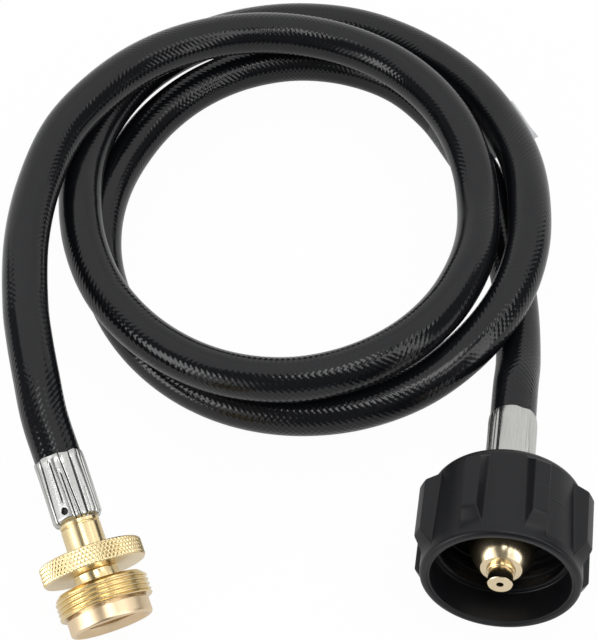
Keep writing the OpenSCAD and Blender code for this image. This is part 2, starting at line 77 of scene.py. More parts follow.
# ---------------------------------------------------------------- hose route
# The same points as the part's source, in millimetres
HOSE_OD = 12.7
CONNECTOR_AT = Vector((-67.7, 15, 22.9))
CONNECTOR_YAW = 20.5
CONNECTOR_PITCH = -15
TANK_AT = Vector((55.7, 30.1, 16.8))
TANK_YAW = -8.2
TANK_PITCH = 11.1
COIL_CENTRE = (-4.2, 102.5)
ROW_STEP = 30
FIRST_ROW_ANGLE = 180
COIL_ROWS = [
    (74, 30.4), (67, 30.4), (64.5, 25.8), (63.5, 20.8), (60.5, 19.2), (56, 19.8),
    (54, 19), (56, 23.4), (60.5, 25.8), (63, 23.8), (62.5, 20.2), (63, 20.3),
    (63.5, 20.4), (68, 15.8), (75, 10.8), (81, 6.4), (79.5, 6.4), (73, 11.4),
    (69, 18.8), (70, 21), (69, 14.8), (66, 10), (62.5, 6.4), (60.5, 7.2),
    (58.5, 7.2), (58.5, 6.4), (61.5, 6.8), (65, 6.4), (64.5, 6.4), (59.5, 6.9),
    (61.5, 7)]
COIL_START = Vector((-80.4, 81, 31.5))
COIL_END = Vector((60.3, 77, 7.2))
LEAD_CONNECTOR_POINTS = [(-74.6, 37, 28.9), (-77, 47.5, 30.5), (-78.9, 58, 31.2)]
LEAD_TANK_POINTS = [(59.3, 53.5, 10.9)]


def heading(yaw, pitch):
    """Way a fitting points: yaw turns it from -Y towards +X, pitch tips it up."""
    yaw, pitch = math.radians(yaw), math.radians(pitch)
    return Vector((math.sin(yaw) * math.cos(pitch),
                   -math.cos(yaw) * math.cos(pitch), math.sin(pitch)))


CONNECTOR_DIR = heading(CONNECTOR_YAW, CONNECTOR_PITCH)
TANK_DIR = heading(TANK_YAW, TANK_PITCH)


def between(a, b, c, d, u):
    """Smooth value a fraction u of the way from b to c."""
    return (b + u * (c - a) / 2 + u * u * (a - 2.5 * b + 2 * c - d / 2)
            + u * u * u * (1.5 * (b - c) + (d - a) / 2))


def coil_point(s):
    """Point of the hose's centre at row s of the coil."""
    i = int(math.floor(s))
    near = [COIL_ROWS[max(0, min(len(COIL_ROWS) - 1, i + k))] for k in (-1, 0, 1, 2)]
    radius, height = (between(*[row[c] for row in near], s - i) for c in (0, 1))
    turn = math.radians(FIRST_ROW_ANGLE - ROW_STEP * s)
    return Vector((COIL_CENTRE[0] + radius * math.cos(turn),
                   COIL_CENTRE[1] + radius * math.sin(turn), max(HOSE_OD / 2, height)))


def hose_stations():
    """Points that the hose passes through, from the connector to the tank end."""
    points_per_row = 2
    last = (len(COIL_ROWS) - 1) * points_per_row
    return ([CONNECTOR_AT, CONNECTOR_AT - HOSE_OD * CONNECTOR_DIR]
            + [Vector(p) for p in LEAD_CONNECTOR_POINTS]
            + [COIL_START]
            + [coil_point(k / points_per_row) for k in range(last + 1)]
            + [COIL_END]
            + [Vector(p) for p in LEAD_TANK_POINTS]
            + [TANK_AT - HOSE_OD * TANK_DIR, TANK_AT])


def smooth_line(points, spacing):
    """Even points along the smooth line through the given ones, laid out finely first."""
    fine_step = 0.5
    p = [points[0] * 2 - points[1]] + points + [points[-1] * 2 - points[-2]]
    dense = []
    for i in range(1, len(p) - 2):
        a, b, c, d = p[i - 1], p[i], p[i + 1], p[i + 2]
        tb = (b - a).length ** 0.5
        tc = tb + (c - b).length ** 0.5
        td = tc + (d - c).length ** 0.5
        steps = max(2, int((c - b).length / fine_step))
        for k in range(steps):
            t = tb + (tc - tb) * k / steps
            ab = a.lerp(b, t / tb)
            bc = b.lerp(c, (t - tb) / (tc - tb))
            cd = c.lerp(d, (t - tc) / (td - tc))
            abc = ab.lerp(bc, t / tc)
            bcd = bc.lerp(cd, (t - tb) / (td - tb))
            dense.append(abc.lerp(bcd, (t - tb) / (tc - tb)))
    dense.append(p[-2])
    travelled = [0.0]
    for a, b in zip(dense, dense[1:]):
        travelled.append(travelled[-1] + (b - a).length)
    count = int(round(travelled[-1] / spacing))
    out, j = [], 0
    for k in range(count + 1):
        want = travelled[-1] * k / count
        while j < len(dense) - 2 and travelled[j + 1] < want:
            j += 1
        span = travelled[j + 1] - travelled[j]
        out.append(dense[j].lerp(dense[j + 1], (want - travelled[j]) / span))
    return out


# ---------------------------------------------------------------- mesh tools
def new_piece(name, verts, faces, sharp_angle=180):
    """A mesh piece from points in millimetres, smooth except past the sharp angle."""
    mesh = bpy.data.meshes.new(name)
    mesh.from_pydata([Vector(v) * MM for v in verts], [], faces)
    mesh.validate()
    mesh.polygons.foreach_set("use_smooth", [True] * len(mesh.polygons))
    if sharp_angle < 180:
        mesh.set_sharp_from_angle(angle=math.radians(sharp_angle))
    obj = bpy.data.objects.new(name, mesh)
    scene.collection.objects.link(obj)
    return obj


def tube_rings(line, radius, sides):
    """Rings of points round a line."""
    rings = []
    for i, p in enumerate(line):
        along = (line[min(i + 1, len(line) - 1)] - line[max(i - 1, 0)]).normalized()
        side = along.cross(Vector((0, 0, 1))).normalized()
        up = side.cross(along)
        rings.append([p + radius * (math.cos(TAU * k / sides) * side
                                    + math.sin(TAU * k / sides) * up) for k in range(sides)])
    return rings


def ring_faces(rows, sides, closed=False):
    """Quads between neighbouring rings; closed also joins the last ring to the first."""
    faces = []
    for i in range(rows if closed else rows - 1):
        j = (i + 1) % rows
        for k in range(sides):
            m = (k + 1) % sides
            faces.append((i * sides + k, i * sides + m, j * sides + m, j * sides + k))
    return faces


def add_along_map(obj, rows, sides, length):
    """Map for the braid: once round the hose across, millimetres along it upward."""
    layer = obj.data.uv_layers.new(name="along_hose")
    for poly in obj.data.polygons:
        places = [divmod(obj.data.loops[loop].vertex_index, sides) for loop in poly.loop_indices]
        wraps = any(k == sides - 1 for _, k in places)
        for loop, (i, k) in zip(poly.loop_indices, places):
            across = sides if k == 0 and wraps else k
            layer.data[loop].uv = (across / sides, i / (rows - 1) * length)


def fitting_axes(at, yaw, pitch):
    """Axes of a fitting: +Z out of the hose mouth, +Y upward."""
    return (Matrix.Translation(at) @ Matrix.Rotation(math.radians(yaw), 4, "Z")
            @ Matrix.Rotation(math.radians(90 - pitch), 4, "X"))


CONNECTOR_AXES = fitting_axes(CONNECTOR_AT, CONNECTOR_YAW, CONNECTOR_PITCH)
TANK_AXES = fitting_axes(TANK_AT, TANK_YAW, TANK_PITCH)


def stretch(start, end, step):
    """Points of an outline from start to just before end, about a step apart."""
    start, end = Vector(start), Vector(end)
    count = max(1, round((end - start).length / step))
    return [tuple(start.lerp(end, k / count)) for k in range(count)]


def arc(centre, radius, start, end, steps):
    """Points of an outline on an arc, angles in degrees."""
    turns = [math.radians(start + (end - start) * k / steps) for k in range(steps + 1)]
    return [(centre[0] + radius * math.cos(t), centre[1] + radius * math.sin(t)) for t in turns]


def even_turns(sides):
    return [TAU * k / sides for k in range(sides)]


def turned(name, axes, outline, turns, shape, sharp_angle=180):
    """Ring-shaped piece: a closed outline of (radius, height) points turned round an axis.
    shape(turn, radius, height) gives each point its own radius and height."""
    verts = []
    for radius, height in outline:
        for turn in turns:
            r, z = shape(turn, radius, height)
            verts.append(axes @ Vector((r * math.cos(turn), r * math.sin(turn), z)))
    return new_piece(name, verts, ring_faces(len(outline), len(turns), closed=True), sharp_angle)


def as_drawn(turn, r, z):
    """The shape of a plain turned piece: every point stays where its outline has it."""
    return r, z


def ramp(value, start, end):
    """0 before start, 1 past end, smooth in between."""
    u = max(0.0, min(1.0, (value - start) / (end - start)))
    return u * u * (3 - 2 * u)


def soft_min(a, b, soft):
    """The smaller value, rounded over where the two come within soft of each other."""
    return min(a, b) - max(soft - abs(a - b), 0) ** 2 / (4 * soft)


def soft_max(a, b, soft):
    return -soft_min(-a, -b, soft)


# ---------------------------------------------------------------- materials
def linear(hex_colour):
    """sRGB hex to linear red, green, blue and full alpha."""
    parts = [int(hex_colour[i:i + 2], 16) / 255 for i in (1, 3, 5)]
    return [p / 12.92 if p <= 0.04045 else ((p + 0.055) / 1.055) ** 2.4 for p in parts] + [1]


def node(tree, kind, settings=None, links=None):
    """Adds a node, sets its fields and sockets, and links sockets to outputs."""
    made = tree.nodes.new(kind)
    for key, value in (settings or {}).items():
        if isinstance(key, str) and key not in made.inputs:
            setattr(made, key, value)
        else:
            made.inputs[key].default_value = value
    for key, source in (links or {}).items():
        tree.links.new(source, made.inputs[key])
    return made


def new_material(name):
    material = bpy.data.materials.new(name)
    material.use_nodes = True
    tree = material.node_tree
    tree.nodes.clear()
    return material, tree


def finish_material(tree, shader):
    out = tree.nodes.new("ShaderNodeOutputMaterial")
    tree.links.new(shader.outputs[0], out.inputs["Surface"])


def tint(tree, source, dark, light):
    """Colour that follows a pattern from dark to light."""
    made = node(tree, "ShaderNodeValToRGB", links={"Fac": source})
    made.color_ramp.elements[0].color = linear(dark)
    made.color_ramp.elements[1].color = linear(light)
    return made.outputs[0]


def along_fitting(tree, at, yaw, pitch):
    """Coordinates in a fitting's own axes, in metres."""
    where = node(tree, "ShaderNodeTexCoord")
    turn = (math.radians(90 - pitch), 0, math.radians(yaw))
    return node(tree, "ShaderNodeMapping",
                {"vector_type": "TEXTURE", "Location": at * MM, "Rotation": turn},
                {"Vector": where.outputs["Object"]}).outputs[0]


# The textile braid under the cover: carriers each way round, and the length of one full turn
BRAID_CARRIERS = 20
BRAID_LEAD = 33
BRAID_RELIEF = 0.026 * MM
# Heights of the rubber's mottle and of its slow waves, as shares of the braid's relief
MOTTLE_HEIGHT = 0.9
SAG_HEIGHT = 4.0


def extruded_rubber():
    """Extruded nitrile rubber: near black, semi-gloss, the braid prints through as a lattice."""
    material, tree = new_material("extruded_rubber")
    place = node(tree, "ShaderNodeUVMap", {"uv_map": "along_hose"})
    parts = node(tree, "ShaderNodeSeparateXYZ", links={"Vector": place.outputs["UV"]})
    turns = node(tree, "ShaderNodeMath", {"operation": "MULTIPLY", 1: BRAID_CARRIERS * TAU},
                 {0: parts.outputs["X"]})
    where = node(tree, "ShaderNodeTexCoord")
    waves = []
    # each way round prints deeper on some stretches than on others, 26 and 16 mm long
    for way, patch_scale in ((1, 38), (-1, 61)):
        phase = node(tree, "ShaderNodeMath",
                     {"operation": "MULTIPLY_ADD", 1: way * BRAID_CARRIERS * TAU / BRAID_LEAD},
                     {0: parts.outputs["Y"], 2: turns.outputs[0]})
        wave = node(tree, "ShaderNodeMath", {"operation": "SINE"}, {0: phase.outputs[0]})
        strength = node(tree, "ShaderNodeTexNoise", {"Scale": patch_scale, "Detail": 2},
                        {"Vector": where.outputs["Object"]})
        depth = node(tree, "ShaderNodeMapRange",
                     {"From Min": 0.42, "From Max": 0.66, "To Min": 0.08, "To Max": 1.0},
                     {"Value": strength.outputs[0]})
        waves.append(node(tree, "ShaderNodeMath", {"operation": "MULTIPLY"},
                          {0: wave.outputs[0], 1: depth.outputs[0]}))
    printed = node(tree, "ShaderNodeMath", {"operation": "ADD"},
                   {0: waves[0].outputs[0], 1: waves[1].outputs[0]})
    # mottle 1.4 mm across
    mottle = node(tree, "ShaderNodeTexNoise", {"Scale": 700, "Detail": 2},
                  {"Vector": where.outputs["Object"]})
    grained = node(tree, "ShaderNodeMath", {"operation": "MULTIPLY_ADD", 1: MOTTLE_HEIGHT},
                   {0: mottle.outputs[0], 2: printed.outputs[0]})
    # slow waves in the cover, about 6 mm apart
    sag = node(tree, "ShaderNodeTexNoise", {"Scale": 160, "Detail": 1},
               {"Vector": where.outputs["Object"]})
    height = node(tree, "ShaderNodeMath", {"operation": "MULTIPLY_ADD", 1: SAG_HEIGHT},
                  {0: sag.outputs[0], 2: grained.outputs[0]})
    bump = node(tree, "ShaderNodeBump", {"Strength": 1.0, "Distance": BRAID_RELIEF},
                {"Height": height.outputs[0]})
    rough = node(tree, "ShaderNodeMapRange",
                 {"From Min": 0.3, "From Max": 0.7, "To Min": 0.12, "To Max": 0.18},
                 {"Value": mottle.outputs[0]})
    shader = node(tree, "ShaderNodeBsdfPrincipled", {"Specular IOR Level": 0.36},
                  {"Base Color": tint(tree, mottle.outputs[0], "#0e0f12", "#131417"),
                   "Roughness": rough.outputs[0], "Normal": bump.outputs[0]})
    finish_material(tree, shader)
    return material


def turned_metal(name, at, yaw, pitch, dark, light, rough):
    """Metal turned on a lathe: fine rings round the fitting's own axis."""
    material, tree = new_material(name)
    place = along_fitting(tree, at, yaw, pitch)
    parts = node(tree, "ShaderNodeSeparateXYZ", links={"Vector": place})
    # feed marks, drawn 0.4 mm apart, coarser than the real 0.1 mm, so that they show
    marks = node(tree, "ShaderNodeTexNoise",
                 {"noise_dimensions": "1D", "Scale": 2500, "Detail": 1},
                 {"W": parts.outputs["Z"]})
    # clouding about 5.5 mm across
    cloud = node(tree, "ShaderNodeTexNoise", {"Scale": 180, "Detail": 3}, {"Vector": place})
    bump = node(tree, "ShaderNodeBump", {"Strength": 0.35, "Distance": 0.003 * MM},
                {"Height": marks.outputs[0]})
    roughness = node(tree, "ShaderNodeMapRange", {"To Min": rough * 0.75, "To Max": rough * 1.25},
                     {"Value": cloud.outputs[0]})
    shader = node(tree, "ShaderNodeBsdfPrincipled", {"Metallic": 1.0},
                  {"Base Color": tint(tree, cloud.outputs[0], dark, light),
                   "Roughness": roughness.outputs[0], "Normal": bump.outputs[0]})
    finish_material(tree, shader)
    return material


# Places of the mix node's two colours and of its result among its sockets
MIX_A = 6
MIX_B = 7
MIX_COLOUR = 2


def crimped_plating(name, at, yaw, pitch, dark, light, rough, relief):
    """Plated tube drawn and crimped: bright, with fine marks along its length."""
    material, tree = new_material(name)
    place = along_fitting(tree, at, yaw, pitch)
    drawn = node(tree, "ShaderNodeMapping", {"Scale": (1, 1, 0.08)}, {"Vector": place})
    # die marks 0.55 mm apart and about 7 mm long, over a peel 0.7 mm across
    marks = node(tree, "ShaderNodeTexNoise", {"Scale": 1800, "Detail": 2},
                 {"Vector": drawn.outputs[0]})
    peel = node(tree, "ShaderNodeTexNoise", {"Scale": 1400, "Detail": 2}, {"Vector": place})
    both = node(tree, "ShaderNodeMath", {"operation": "ADD"},
                {0: marks.outputs[0], 1: peel.outputs[0]})
    bump = node(tree, "ShaderNodeBump", {"Strength": 1.0, "Distance": relief},
                {"Height": both.outputs[0]})
    # painted shade: the bottom of each fold is darkened where the crease lies in shade
    fold = node(tree, "ShaderNodeAttribute", {"attribute_name": "fold"})
    colour = node(tree, "ShaderNodeMix", {"data_type": "RGBA", MIX_B: linear("#26262a")},
                  {0: fold.outputs["Fac"], MIX_A: tint(tree, marks.outputs[0], dark, light)})
    shader = node(tree, "ShaderNodeBsdfPrincipled", {"Metallic": 1.0, "Roughness": rough},
                  {"Base Color": colour.outputs[MIX_COLOUR], "Normal": bump.outputs[0]})
    finish_material(tree, shader)
    return material


def drawn_steel():
    """Drawn stainless wire and strip: grey, even, slightly soft reflections."""
    material, tree = new_material("drawn_steel")
    where = node(tree, "ShaderNodeTexCoord")
    # grain 1.7 mm across
    grain = node(tree, "ShaderNodeTexNoise", {"Scale": 600, "Detail": 2},
                 {"Vector": where.outputs["Object"]})
    shader = node(tree, "ShaderNodeBsdfPrincipled", {"Metallic": 1.0, "Roughness": 0.3},
                  {"Base Color": tint(tree, grain.outputs[0], "#86888c", "#a4a6aa")})
    finish_material(tree, shader)
    return material


def moulded(name, dark, light, rough, gloss, grain_size, relief):
    """Moulded polymer or rubber: an even colour with a fine spark-eroded grain."""
    material, tree = new_material(name)
    where = node(tree, "ShaderNodeTexCoord")
    grain = node(tree, "ShaderNodeTexNoise", {"Scale": 1 / grain_size, "Detail": 2},
                 {"Vector": where.outputs["Object"]})
    # clouding about 8 mm across
    cloud = node(tree, "ShaderNodeTexNoise", {"Scale": 120, "Detail": 2},
                 {"Vector": where.outputs["Object"]})
    bump = node(tree, "ShaderNodeBump", {"Strength": 1.0, "Distance": relief},
                {"Height": grain.outputs[0]})
    roughness = node(tree, "ShaderNodeMapRange", {"To Min": rough * 0.85, "To Max": rough * 1.15},
                     {"Value": cloud.outputs[0]})
    shader = node(tree, "ShaderNodeBsdfPrincipled", {"Specular IOR Level": gloss},
                  {"Base Color": tint(tree, grain.outputs[0], dark, light),
                   "Roughness": roughness.outputs[0], "Normal": bump.outputs[0]})
    finish_material(tree, shader)
    return material


def clear_film(name, cover):
    """Glossy polyester film, hazy where two layers are stuck together."""
    material, tree = new_material(name)
    where = node(tree, "ShaderNodeTexCoord")
    # haze about 6 mm across
    haze = node(tree, "ShaderNodeTexNoise", {"Scale": 160, "Detail": 2},
                {"Vector": where.outputs["Object"]})
    bump = node(tree, "ShaderNodeBump", {"Strength": 0.5, "Distance": 0.1 * MM},
                {"Height": haze.outputs[0]})
    shader = node(tree, "ShaderNodeBsdfPrincipled", {"Roughness": 0.15, "Alpha": cover},
                  {"Base Color": tint(tree, haze.outputs[0], "#cdcfd2", "#f0f1f2"),
                   "Normal": bump.outputs[0]})
    finish_material(tree, shader)
    return material


CONNECTOR_PLACE = (CONNECTOR_AT, CONNECTOR_YAW, CONNECTOR_PITCH)
TANK_PLACE = (TANK_AT, TANK_YAW, TANK_PITCH)
RUBBER = extruded_rubber()
# Moulded nitrile: dull black
SEAL = moulded("seal_rubber", "#0d0d0e", "#151516", 0.6, 0.4, 0.4 * MM, 0.004 * MM)
# Glass-filled nylon from a grained mould: black with a soft satin sheen
NUT_PLASTIC = moulded("moulded_nylon", "#090a0e", "#0f1014", 0.4, 0.33, 0.35 * MM, 0.006 * MM)
# Low-melting heat-release polymer: matt brown
BUSHING = moulded("release_polymer", "#3a2c1c", "#4a3824", 0.5, 0.5, 0.4 * MM, 0.004 * MM)
# Turned brass: pale gold, bright bands
BRASS_CONNECTOR = turned_metal("turned_brass_connector", *CONNECTOR_PLACE,
                               "#dcc590", "#ecd9b0", 0.2)
BRASS_TANK = turned_metal("turned_brass_nipple", *TANK_PLACE, "#dac6a0", "#ecdcbc", 0.2)
# Tumbled brass ring: duller and pinker than the turned body
BRASS_SATIN = turned_metal("tumbled_brass", *CONNECTOR_PLACE, "#dcc39e", "#ead4b2", 0.32)
# Bright nickel over brass or steel tube
NICKEL_CONNECTOR = crimped_plating("bright_nickel_connector", *CONNECTOR_PLACE,
                                   "#acacaa", "#d2d2ce", 0.2, 0.02 * MM)
NICKEL_TANK = crimped_plating("bright_nickel_tank", *TANK_PLACE,
                              "#b4b4b0", "#cfcfcb", 0.22, 0.012 * MM)
STEEL = drawn_steel()
METAL_NAMES = {m.name for m in (BRASS_CONNECTOR, BRASS_TANK, BRASS_SATIN, NICKEL_CONNECTOR,
                                NICKEL_TANK, STEEL)}
FILM = clear_film("clear_film", 0.06)
FILM_FLAG = clear_film("clear_film_doubled", 0.8)

# Finish of each node; one that isn't listed is brass on the tank end, or is replaced below
FINISHES = {
    "valve_seal": SEAL, "hose_tail_connector": SEAL, "hose_tail_tank": SEAL,
    "tank_nut": NUT_PLASTIC, "nut_bushing": BUSHING, "valve_pin": STEEL,
    "valve_spring": STEEL, "flow_spring": STEEL, "nut_clip": STEEL,
    "connector_ferrule": NICKEL_CONNECTOR, "tank_ferrule": NICKEL_TANK,
    "connector_stem": BRASS_CONNECTOR, "connector_body": BRASS_CONNECTOR,
    "nose_collar": BRASS_SATIN, "valve_cage": BRASS_CONNECTOR,
}
for name, obj in frame["nodes"].items():
    obj.data.materials.clear()
    obj.data.materials.append(FINISHES.get(name, BRASS_TANK))


def dress(obj, materials, body="hose_assembly"):
    """Gives a piece its materials, the body that it rides on and its material slot."""
    for material in materials:
        obj.data.materials.append(material)
    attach(obj, body)


# ---------------------------------------------------------------- hose
HOSE_SIDES = 64
RING_SPACING = 0.8
line = smooth_line(hose_stations(), RING_SPACING)
hose_length = sum((b - a).length for a, b in zip(line, line[1:]))
rings = tube_rings(line, HOSE_OD / 2, HOSE_SIDES)
first_ring = range(HOSE_SIDES)
last_ring = range((len(rings) - 1) * HOSE_SIDES, len(rings) * HOSE_SIDES)
hose = new_piece("rubber_hose", [v for ring in rings for v in ring],
                 ring_faces(len(rings), HOSE_SIDES) + [tuple(first_ring)[::-1], tuple(last_ring)],
                 sharp_angle=60)
add_along_map(hose, len(rings), HOSE_SIDES, hose_length)
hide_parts("hose_lead_connector", "hose_coil", "hose_lead_tank")
dress(hose, [RUBBER])

# ---------------------------------------------------------------- label
# Row of the coil that gives the flag its direction, and how far back from it the film sits
LABEL_ROW = 29
LABEL_BACK = 3
# Width along the hose, thickness of the film, and the air under it
LABEL_W = 17.5
LABEL_T = 0.15
FILM_GAP = 0.03
label_mid = min(range(len(line)), key=lambda i: (line[i] - coil_point(LABEL_ROW)).length)
half = int(LABEL_W / 2 / RING_SPACING)
shift = int(LABEL_BACK / RING_SPACING)
label_line = line[label_mid - half - shift:label_mid + half - shift + 1]
outer = tube_rings(label_line, HOSE_OD / 2 + LABEL_T, HOSE_SIDES)
inner = tube_rings(label_line, HOSE_OD / 2 + FILM_GAP, HOSE_SIDES)
label = new_piece("label_film", [v for ring in outer + inner[::-1] for v in ring],
                  ring_faces(2 * len(outer), HOSE_SIDES, closed=True), sharp_angle=40)
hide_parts("label_wrap")
dress(label, [FILM])

# The film's two ends, stuck together, stand out as a flag low on the hose's outer side:
# how far it reaches past the hose, how low it lies, and where it leaves the rubber
FLAG_REACH = 19
FLAG_DROP = 4.4
FLAG_ROOT = 4.75
FLAG_STEPS = 24
# One wave along the free edge: both corners curl up and the middle droops
FLAG_WAVE = 0.25
FLAG_WAVE_START = 0.15


def away_from_coil(p):
    """Level direction from the coil's centre out to a point."""
    return Vector((p.x - COIL_CENTRE[0], p.y - COIL_CENTRE[1], 0)).normalized()


middle = line[label_mid]
out_way = away_from_coil(middle)
flag_verts = []
for side in (LABEL_T, -LABEL_T):
    for i, p in enumerate(label_line):
        start = Vector((p.x, p.y, 0)) + FLAG_ROOT * away_from_coil(p)
        end = Vector((p.x, p.y, 0)) + (HOSE_OD / 2 + FLAG_REACH) * out_way
        for k in range(FLAG_STEPS + 1):
            u = k / FLAG_STEPS
            q = start.lerp(end, u)
            wave = FLAG_WAVE * u * math.sin(TAU * (i / len(label_line) + FLAG_WAVE_START))
            q.z = middle.z - FLAG_DROP + side + wave
            flag_verts.append(q)
columns = FLAG_STEPS + 1
sheet = len(label_line) * columns
flag_faces = []
for i in range(len(label_line) - 1):
    for k in range(FLAG_STEPS):
        a = i * columns + k
        b = a + columns
        flag_faces.append((a, a + 1, b + 1, b))
        flag_faces.append((sheet + a, sheet + b, sheet + b + 1, sheet + a + 1))
far_row = sheet - columns
rim = (list(range(columns)) + list(range(2 * columns - 1, sheet, columns))
       + list(range(sheet - 2, far_row - 1, -1)) + list(range(far_row - columns, 0, -columns)))
for a, b in zip(rim, rim[1:] + rim[:1]):
    flag_faces.append((b, a, sheet + a, sheet + b))
flag = new_piece("label_flag", flag_verts, flag_faces, sharp_angle=40)
dress(flag, [FILM_FLAG])

# ---------------------------------------------------------------- crimped ferrules
FERRULE_LEN = 17.8
FERRULE_R = 6.75
# Bore over the hose's crimped end, and the wider mouth that the hose comes out of
FERRULE_INNER_R = 5.95
HOSE_ROOM_R = 6.43
HOSE_ROOM_Z = 0.5
MOUTH_BACK = 0.4
FLARE_LEN = 2.2
# Hole round the stem, the rolled lip, and the inner face that the stem's shoulder meets
NECK_R = 5.42
LIP_R = 1.3
SHOULDER_END = 16.6
# Low swelling of the wall between the folds, and waviness of the lip
WALL_SWELL = 0.07
LIP_WAVE = 0.16
# Inspection hole: its middle along the tube, its radius, its depth, and where close rows start
WITNESS_Z = 15.0
WITNESS_R = 0.95
WITNESS_DEPTH = 0.75
WITNESS_ROWS_Z = 13.6
# Depths of a fold between which its painted shade comes in
FOLD_SHADE_DEPTHS = (0.15, 0.34)
FERRULE_SIDES = 600


def ferrule(name, axes, creases, hole_turn, flare, material):
    """Tube crimped on the hose: folds along it, a wavy open edge and a rolled lip.
    Each crease is (degrees round, half width in degrees, depth, lean in degrees a millimetre),
    and one that doesn't run the whole length also has its two ends. The flare widens the
    mouth, or draws it in where it is below zero."""

    def crimp(turn, z):
        """How deep the die has pressed a fold at a place on the tube."""
        depth = 0.0
        for at, half_width, deep, lean, *ends in creases:
            off = abs((math.degrees(turn) - at - lean * (z - FERRULE_LEN / 2) + 180) % 360 - 180)
            if ends:
                deep *= ramp(z, ends[0], ends[0] + 1) * (1 - ramp(z, ends[1] - 1, ends[1]))
            depth = max(depth, deep * max(0.0, 1 - off / half_width) ** 1.4)
        return depth

    def mouth_wave(turn):
        """How far the open edge waves along the hose, at most 0.3 mm either way."""
        return 0.16 * math.sin(5 * turn + 1) - 0.13 * math.sin(9 * turn)

    def from_hole(turn, z):
        """Distance along the surface from the middle of the inspection hole."""
        across = FERRULE_R * ((turn - hole_turn + math.pi) % TAU - math.pi)
        return math.hypot(across, z - WITNESS_Z)

    def shape(turn, r, z):
        outside = r > HOSE_ROOM_R + 0.1 or z > FERRULE_LEN - LIP_R and r > NECK_R + 0.2
        if not outside:
            if z < 0:
                z += mouth_wave(turn)
            return r, z
        fold = crimp(turn, z)
        near_mouth = 1 - ramp(z, 0, FLARE_LEN)
        r += flare * near_mouth - fold * (1 - 0.5 * near_mouth)
        r += WALL_SWELL * math.sin(7 * turn + 0.22 * z) * (1 - near_mouth)
        if z <= 0:
            z += mouth_wave(turn)
        if z > SHOULDER_END - 1:
            z -= (LIP_WAVE * (1 + math.sin(6 * turn + 2))
                  * ramp(z, SHOULDER_END - 1, FERRULE_LEN))
        dip = WITNESS_DEPTH * (1 - ramp(from_hole(turn, z), WITNESS_R - 0.12, WITNESS_R + 0.08))
        return (max(r - dip, FERRULE_INNER_R + 0.04) if dip else r), z

    body_end = FERRULE_LEN - LIP_R
    outline = (stretch((FERRULE_R - 0.1, -MOUTH_BACK), (FERRULE_R, 0.4), 0.2)
               + stretch((FERRULE_R, 0.4), (FERRULE_R, WITNESS_ROWS_Z), 0.45)
               + stretch((FERRULE_R, WITNESS_ROWS_Z), (FERRULE_R, body_end), 0.15)
               + arc((FERRULE_R - LIP_R, body_end), LIP_R, 0, 90, 8)
               + [(NECK_R, SHOULDER_END), (FERRULE_INNER_R, SHOULDER_END - 0.02),
                  (FERRULE_INNER_R, HOSE_ROOM_Z + 0.1), (HOSE_ROOM_R, HOSE_ROOM_Z),
                  (HOSE_ROOM_R, -MOUTH_BACK)])
    piece = turned(name + "_crimped", axes, outline, even_turns(FERRULE_SIDES), shape,
                   sharp_angle=50)
    dress(piece, [material, SEAL])
    # how deep each point lies in a fold, for the painted shade that darkens the crease's bottom
    local = axes.inverted()
    fold_shade = piece.data.attributes.new("fold", "FLOAT", "POINT")
    for i, vert in enumerate(piece.data.vertices):
        at = local @ (vert.co / MM)
        fold_shade.data[i].value = ramp(crimp(math.atan2(at.y, at.x), at.z), *FOLD_SHADE_DEPTHS)
    # the bottom of the inspection hole shows the rubber
    for poly in piece.data.polygons:
        at = local @ (poly.center / MM)
        if (math.hypot(at.x, at.y) > NECK_R + 0.1
                and from_hole(math.atan2(at.y, at.x), at.z) < WITNESS_R + 0.06):
            poly.material_index = 1
    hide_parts(name)


CONNECTOR_CREASES = [
    (29, 4.5, 0.34, 0), (41, 4.5, 0.38, 0), (52, 3, 0.2, 0, 10, 18), (65, 5, 0.4, 0),
    (85.5, 5, 0.42, -0.48), (91, 10, 0.2, -0.3), (96.4, 5, 0.42, -0.2, 4, 19),
    (115, 5, 0.42, 0, 0.5, 13), (142.5, 5, 0.42, 0.4), (157, 8, 0.3, 0), (188, 12, 0.34, 0),
    (222, 12, 0.36, 0), (254, 11, 0.32, 0), (290, 14, 0.38, 0), (322, 10, 0.3, 0),
    (350, 9, 0.28, 0)]
TANK_CREASES = [
    (129, 7, 0.4, 0), (141, 5, 0.22, 0), (152, 6, 0.34, 0), (167, 7, 0.34, 0),
    (192, 11, 0.34, 0), (22, 5, 0.08, 0), (40, 5, 0.06, 0), (57, 3, 0.05, 0), (71, 4, 0.06, 0),
    (84, 3, 0.04, 0), (95, 4, 0.06, 0), (108, 3, 0.05, 0), (225, 12, 0.34, 0),
    (258, 12, 0.34, 0), (290, 12, 0.34, 0), (322, 12, 0.32, 0), (350, 9, 0.26, 0)]
CONNECTOR_HOLE = math.radians(116)
TANK_HOLE = math.radians(270)
CONNECTOR_FLARE = 0.05
TANK_FLARE = -0.05
ferrule("connector_ferrule", CONNECTOR_AXES, CONNECTOR_CREASES, CONNECTOR_HOLE, CONNECTOR_FLARE,
        NICKEL_CONNECTOR)
ferrule("tank_ferrule", TANK_AXES, TANK_CREASES, TANK_HOLE, TANK_FLARE, NICKEL_TANK)

# ---------------------------------------------------------------- connector body
DISC_Z = 26.8
DISC_R = 14.05
WAIST_Z = 32.0
WAIST_R = 6.05
WAIST_FILLET = 0.4
HEAD_Z = 35.5
THREAD_R = 12.6
HEAD_END = 41.9
HEAD_EDGE = 0.25
EDGE = 0.5
RUN_IN = 1.3
# Rim of each flat face that the knurl and the thread still cut
RIM = 0.2
# Bored ways inside: gas, the stem's spigot, the valve, the valve's cage, the collar's spigot
GAS_R = 2
STEM_SPIGOT_R = 4.2
STEM_SPIGOT_END = 29.3
CHAMBER_R = 4.3
CHAMBER_Z = 30.1
CAGE_R = 6.5
CAGE_Z = 36.5
COLLAR_BORE_R = 10.75
SPIGOT_START = 38.9
